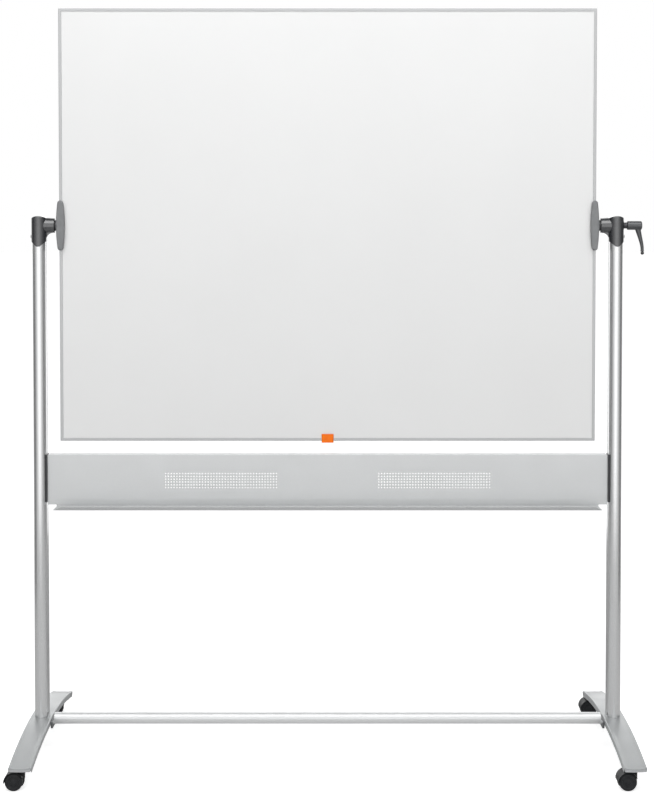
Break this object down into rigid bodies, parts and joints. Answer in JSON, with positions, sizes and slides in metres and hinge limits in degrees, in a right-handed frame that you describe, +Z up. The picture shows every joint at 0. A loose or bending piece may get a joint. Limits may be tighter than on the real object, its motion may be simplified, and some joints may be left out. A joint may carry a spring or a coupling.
{
  "type": "rolling whiteboard",
  "caption": "Double-sided whiteboard that turns end over end between two posts, with arched feet on casters, a clamping lever, a perforated panel and a pen tray.",
  "frame": {"origin": "on the floor, midway between the posts and under the board's pivot axis", "axes": "+X to the right for a person who faces the pen tray, +Y away from that person, +Z up"},
  "size_m": [1.7429, 0.67, 2.093],
  "materials": {
    "enamel": "gloss",
    "core": "matt",
    "rail_aluminium": "satin anodised",
    "key_steel": "bright zinc",
    "orange_plastic": "gloss",
    "grey_plastic": "fine texture",
    "shaft_steel": "turned",
    "bracket_metal": "gloss dark coating",
    "black_plastic": "fine texture",
    "silver_paint": "satin silver powder coat",
    "post_aluminium": "satin anodised",
    "fastener_steel": "zinc",
    "dark_steel": "dark coating",
    "lever_metal": "hammered grey coating",
    "wheel_plastic": "matt"
  },
  "bodies": {
    "stand": {"left_post": "post_aluminium", "right_post": "post_aluminium", "left_pivot_bracket": "bracket_metal", "right_pivot_bracket": "bracket_metal", "left_pivot_bush": "black_plastic", "right_pivot_bush": "black_plastic", "set_screws": "dark_steel", "left_foot": "silver_paint", "right_foot": "silver_paint", "post_bolts": "fastener_steel", "crossbar": "silver_paint", "left_crossbar_plate": "dark_steel", "right_crossbar_plate": "dark_steel", "crossbar_bolts": "fastener_steel", "fascia_panel": "silver_paint", "pen_tray": "silver_paint", "left_panel_bracket": "black_plastic", "right_panel_bracket": "black_plastic", "panel_nuts": "fastener_steel", "slot_bolts": "fastener_steel", "front_left_socket": "silver_paint", "front_right_socket": "silver_paint", "rear_left_socket": "silver_paint", "rear_right_socket": "silver_paint"},
    "board": {"front_sheet": "enamel", "back_sheet": "enamel", "board_core": "core", "frame_top": "rail_aluminium", "frame_bottom": "rail_aluminium", "frame_left": "rail_aluminium", "frame_right": "rail_aluminium", "corner_keys": "key_steel", "frame_clip": "orange_plastic", "saddle_screws": "fastener_steel", "left_pivot_saddle": "grey_plastic", "right_pivot_saddle": "grey_plastic", "left_pivot_shaft": "shaft_steel", "right_pivot_shaft": "shaft_steel"},
    "lever_stud": {"lever_insert": "shaft_steel", "lever_screw": "fastener_steel", "lever_spring": "shaft_steel"},
    "lever_grip": {"lever_handle": "lever_metal", "lever_tip": "black_plastic"},
    "front_left_caster": {"front_left_caster_housing": "black_plastic", "front_left_caster_stem": "fastener_steel"},
    "front_left_wheels": {"front_left_caster_axle": "fastener_steel", "front_left_caster_wheels": "wheel_plastic"},
    "front_right_caster": {"front_right_caster_housing": "black_plastic", "front_right_caster_stem": "fastener_steel"},
    "front_right_wheels": {"front_right_caster_axle": "fastener_steel", "front_right_caster_wheels": "wheel_plastic"},
    "rear_left_caster": {"rear_left_caster_housing": "black_plastic", "rear_left_caster_stem": "fastener_steel"},
    "rear_left_wheels": {"rear_left_caster_axle": "fastener_steel", "rear_left_caster_wheels": "wheel_plastic"},
    "rear_right_caster": {"rear_right_caster_housing": "black_plastic", "rear_right_caster_stem": "fastener_steel"},
    "rear_right_wheels": {"rear_right_caster_axle": "fastener_steel", "rear_right_caster_wheels": "wheel_plastic"}
  },
  "joints": [
    {"name": "board_turn", "type": "hinge", "parent": "stand", "child": "board", "pos_m": [0, 0, 1.487], "axis": [1, 0, 0], "continuous": true},
    {"name": "lever_turn", "type": "hinge", "parent": "stand", "child": "lever_stud", "pos_m": [0.84, 0, 1.487], "axis": [1, 0, 0], "range_deg": [0, 180]},
    {"name": "lever_pull", "type": "slide", "parent": "lever_stud", "child": "lever_grip", "axis": [1, 0, 0], "range_m": [0, 0.004], "stiffness_N_per_m": 1500, "springref_m": -0.003, "deforming": ["lever_spring"]},
    {"name": "front_left_swivel", "type": "hinge", "parent": "stand", "child": "front_left_caster", "pos_m": [-0.809, -0.304, 0.05], "axis": [0, 0, 1], "continuous": true},
    {"name": "front_left_roll", "type": "hinge", "parent": "front_left_caster", "child": "front_left_wheels", "pos_m": [-0.827, -0.304, 0.0235], "axis": [0, 1, 0], "continuous": true},
    {"name": "front_right_swivel", "type": "hinge", "parent": "stand", "child": "front_right_caster", "pos_m": [0.809, -0.304, 0.05], "axis": [0, 0, 1], "continuous": true},
    {"name": "front_right_roll", "type": "hinge", "parent": "front_right_caster", "child": "front_right_wheels", "pos_m": [0.791, -0.304, 0.0235], "axis": [0, 1, 0], "continuous": true},
    {"name": "rear_left_swivel", "type": "hinge", "parent": "stand", "child": "rear_left_caster", "pos_m": [-0.809, 0.304, 0.05], "axis": [0, 0, 1], "continuous": true},
    {"name": "rear_left_roll", "type": "hinge", "parent": "rear_left_caster", "child": "rear_left_wheels", "pos_m": [-0.827, 0.304, 0.0235], "axis": [0, 1, 0], "continuous": true},
    {"name": "rear_right_swivel", "type": "hinge", "parent": "stand", "child": "rear_right_caster", "pos_m": [0.809, 0.304, 0.05], "axis": [0, 0, 1], "continuous": true},
    {"name": "rear_right_roll", "type": "hinge", "parent": "rear_right_caster", "child": "rear_right_wheels", "pos_m": [0.791, 0.304, 0.0235], "axis": [0, 1, 0], "continuous": true}
  ]
}
